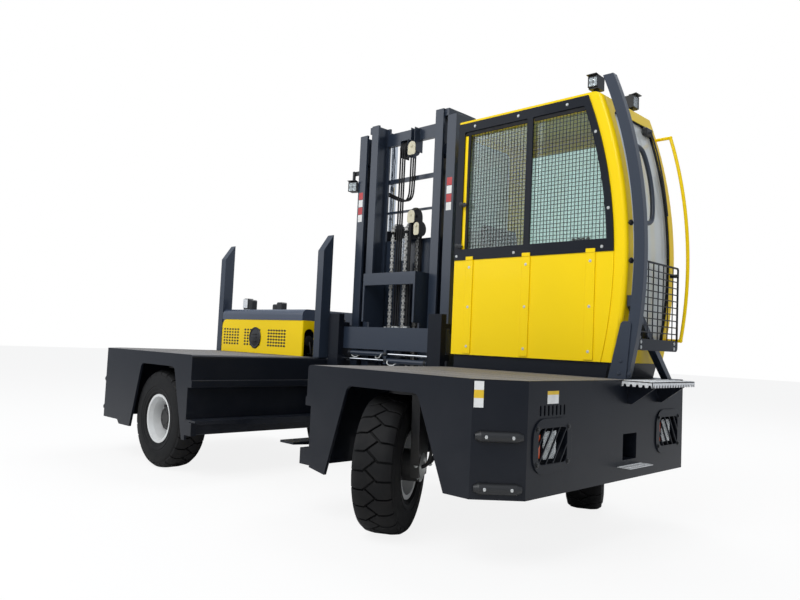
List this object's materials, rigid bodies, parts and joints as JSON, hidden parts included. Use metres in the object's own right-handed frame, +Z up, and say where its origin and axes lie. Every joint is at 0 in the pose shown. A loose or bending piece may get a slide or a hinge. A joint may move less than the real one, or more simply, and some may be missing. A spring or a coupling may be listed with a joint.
{
  "type": "four-way side-loading forklift",
  "caption": "Four-way side-loading forklift: load platforms either side of a well with a reach mast, steered wheels, yellow corner cab and engine hood.",
  "frame": {"origin": "on the ground below the middle of the overall box", "axes": "+X along the machine towards the cab end, +Y towards the rear, away from the load side, +Z up"},
  "size_m": [4.976, 2.4666, 3.142],
  "materials": {
    "anthracite_paint": "satin anthracite grey paint",
    "cab_yellow": "gloss yellow paint",
    "deck": "worn brown-grey non-slip coating",
    "tyre": "solid black rubber",
    "rim": "light grey paint",
    "dark_steel": "dark satin paint",
    "tread_aluminium": "raised tread aluminium",
    "glass": "clear safety glass with a green tint",
    "seat_cloth": "black seat cover",
    "dark_plastic": "black moulded plastic",
    "engine_iron": "grey painted casting"
  },
  "bodies": {
    "chassis": {"left_frame": "anthracite_paint", "right_frame": "anthracite_paint", "rear_beam": "anthracite_paint", "load_decks": "deck", "buffer_bars": "anthracite_paint", "load_posts": "anthracite_paint", "boarding_steps": "tread_aluminium", "cab_frame": "cab_yellow", "cab_roof": "cab_yellow", "cab_floor": "anthracite_paint", "window_guard": "anthracite_paint", "cab_side_panel": "cab_yellow", "cab_glass": "glass", "operator_seat": "seat_cloth", "control_console": "dark_plastic", "guard_post": "anthracite_paint", "mesh_guard": "anthracite_paint", "grab_rail": "cab_yellow", "engine_block": "engine_iron", "work_lamps": "dark_plastic", "headlights": "dark_plastic"},
    "cab_door": {"cab_door": "cab_yellow", "door_glass": "glass"},
    "engine_hood": {"engine_hood": "anthracite_paint", "hood_panel": "cab_yellow"},
    "reach_carriage": {"reach_carriage": "anthracite_paint"},
    "outer_mast": {"outer_mast": "anthracite_paint", "lift_rams": "dark_steel"},
    "inner_mast": {"inner_mast": "anthracite_paint"},
    "chain_head": {"chain_head": "dark_steel"},
    "fork_carriage": {"fork_carriage": "anthracite_paint"},
    "left_fork": {"left_fork": "anthracite_paint"},
    "right_fork": {"right_fork": "anthracite_paint"},
    "front_left_knuckle": {"front_left_knuckle": "dark_steel"},
    "front_left_wheel": {"front_left_tyre": "tyre", "front_left_rim": "rim"},
    "front_right_knuckle": {"front_right_knuckle": "dark_steel"},
    "front_right_wheel": {"front_right_tyre": "tyre", "front_right_rim": "rim"},
    "rear_left_knuckle": {"rear_left_knuckle": "dark_steel"},
    "rear_left_wheel": {"rear_left_tyre": "tyre", "rear_left_rim": "rim"},
    "rear_right_knuckle": {"rear_right_knuckle": "dark_steel"},
    "rear_right_wheel": {"rear_right_tyre": "tyre", "rear_right_rim": "rim"}
  },
  "joints": [
    {"name": "front_left_steer", "type": "hinge", "parent": "chassis", "child": "front_left_knuckle", "pos_m": [-1.315, -0.772, 0.413], "axis": [0, 0, 1], "range_deg": [-95, 12]},
    {"name": "front_left_roll", "type": "hinge", "parent": "front_left_knuckle", "child": "front_left_wheel", "pos_m": [-1.315, -0.894, 0.413], "axis": [0, -1, 0], "continuous": true},
    {"name": "front_right_steer", "type": "hinge", "parent": "chassis", "child": "front_right_knuckle", "pos_m": [1.415, -0.772, 0.413], "axis": [0, 0, 1], "range_deg": [-33, 74]},
    {"name": "front_right_roll", "type": "hinge", "parent": "front_right_knuckle", "child": "front_right_wheel", "pos_m": [1.30728, -0.82928, 0.413], "axis": [-0.8829, -0.4695, 0], "continuous": true},
    {"name": "rear_left_steer", "type": "hinge", "parent": "chassis", "child": "rear_left_knuckle", "pos_m": [-1.315, 0.772, 0.413], "axis": [0, 0, 1], "range_deg": [-33, 74]},
    {"name": "rear_left_roll", "type": "hinge", "parent": "rear_left_knuckle", "child": "rear_left_wheel", "pos_m": [-1.20728, 0.82928, 0.413], "axis": [0.8829, 0.4695, 0], "continuous": true},
    {"name": "rear_right_steer", "type": "hinge", "parent": "chassis", "child": "rear_right_knuckle", "pos_m": [1.571, 0.772, 0.413], "axis": [0, 0, 1], "range_deg": [-33, 74]},
    {"name": "rear_right_roll", "type": "hinge", "parent": "rear_right_knuckle", "child": "rear_right_wheel", "pos_m": [1.67872, 0.82928, 0.413], "axis": [0.8829, 0.4695, 0], "continuous": true},
    {"name": "mast_reach", "type": "slide", "parent": "chassis", "child": "reach_carriage", "axis": [0, -1, 0], "range_m": [0, 1.25]},
    {"name": "mast_tilt", "type": "hinge", "parent": "reach_carriage", "child": "outer_mast", "pos_m": [0.005, 0.566, 0.4], "axis": [1, 0, 0], "range_deg": [-3, 2]},
    {"name": "mast_lift", "type": "slide", "parent": "outer_mast", "child": "inner_mast", "axis": [0, 0, 1], "range_m": [0, 1.4]},
    {"name": "fork_lift", "type": "slide", "parent": "inner_mast", "child": "fork_carriage", "axis": [0, 0, 1], "range_m": [-0.36, 1.2]},
    {"name": "chain_head_lift", "type": "slide", "parent": "inner_mast", "child": "chain_head", "axis": [0, 0, 1], "range_m": [-0.18, 0.6]},
    {"name": "left_fork_shift", "type": "slide", "parent": "fork_carriage", "child": "left_fork", "axis": [1, 0, 0], "range_m": [0, 0.28]},
    {"name": "right_fork_shift", "type": "slide", "parent": "fork_carriage", "child": "right_fork", "axis": [-1, 0, 0], "range_m": [0, 0.28]},
    {"name": "cab_door_hinge", "type": "hinge", "parent": "chassis", "child": "cab_door", "pos_m": [0.874, 1.055, 1.9], "axis": [0, 0, 1], "range_deg": [0, 100]},
    {"name": "engine_hood_hinge", "type": "hinge", "parent": "chassis", "child": "engine_hood", "pos_m": [-1.695, 1.025, 0.9753], "axis": [-1, 0, 0], "range_deg": [0, 60]}
  ],
  "couplings": [
    {"joint": "chain_head_lift", "follows": "fork_lift", "ratio": 0.5}
  ]
}
